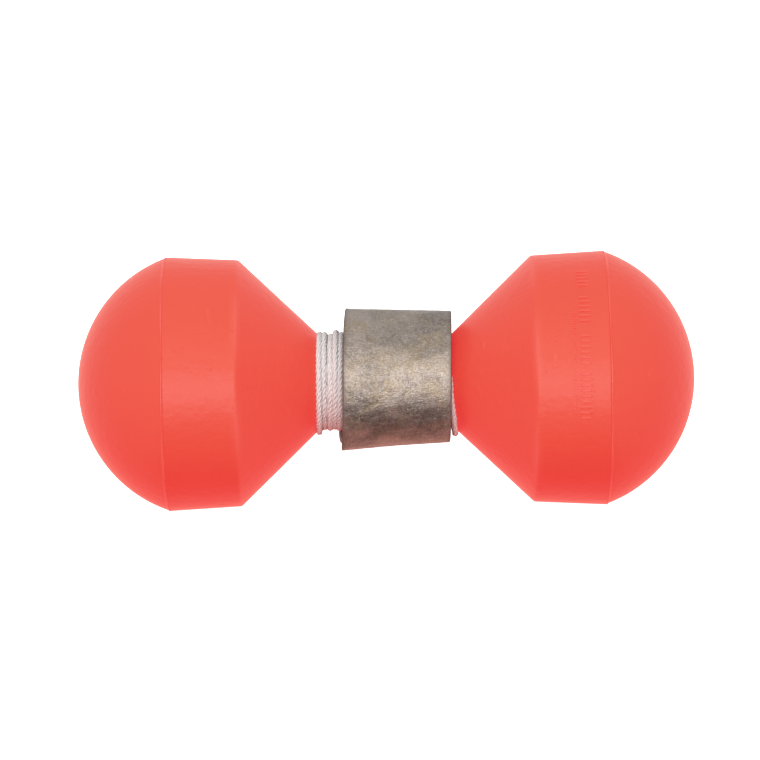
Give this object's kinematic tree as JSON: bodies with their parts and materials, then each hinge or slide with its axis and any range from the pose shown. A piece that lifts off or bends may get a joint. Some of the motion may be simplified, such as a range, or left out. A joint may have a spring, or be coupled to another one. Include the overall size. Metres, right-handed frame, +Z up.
{
  "type": "marker buoy",
  "caption": "Dumbbell marker buoy: hollow plastic bulbs on a spool neck, with a wound cord held by a bent lead strap.",
  "frame": {"origin": "on the spool's axis, midway between the tips of the two domes", "axes": "+X along the spool's axis; +Z up as the buoy lies on the beads round its two bulbs; the strap's free end is at the bottom, towards +Y, and the strap's bend is 30 degrees behind the top"},
  "size_m": [0.175, 0.072, 0.072],
  "materials": {
    "float_plastic": "satin",
    "core_plastic": "satin",
    "cord": "matte",
    "lead": "satin"
  },
  "bodies": {
    "float": {"right_bell": "float_plastic", "right_dome": "float_plastic", "left_bell": "float_plastic", "left_dome": "float_plastic", "neck_dowel": "core_plastic", "cord_winding": "cord"},
    "last_lap": {"cord_last_lap": "cord"},
    "strap_rear": {"lead_strap_rear": "lead", "cord_end_knot": "cord"},
    "strap_front": {"lead_strap_front": "lead"}
  },
  "joints": [
    {"name": "strap_spin", "type": "hinge", "parent": "float", "child": "last_lap", "pos_m": [0, 0, 0], "axis": [1, 0, 0], "continuous": true},
    {"name": "strap_slide", "type": "slide", "parent": "last_lap", "child": "strap_rear", "axis": [1, 0, 0], "range_m": [-0.0075, 0]},
    {"name": "strap_open", "type": "hinge", "parent": "strap_rear", "child": "strap_front", "pos_m": [0.00377, 0.01014, 0.01756], "axis": [-0.9993, 0.0187, 0.0324], "range_deg": [0, 60]}
  ]
}
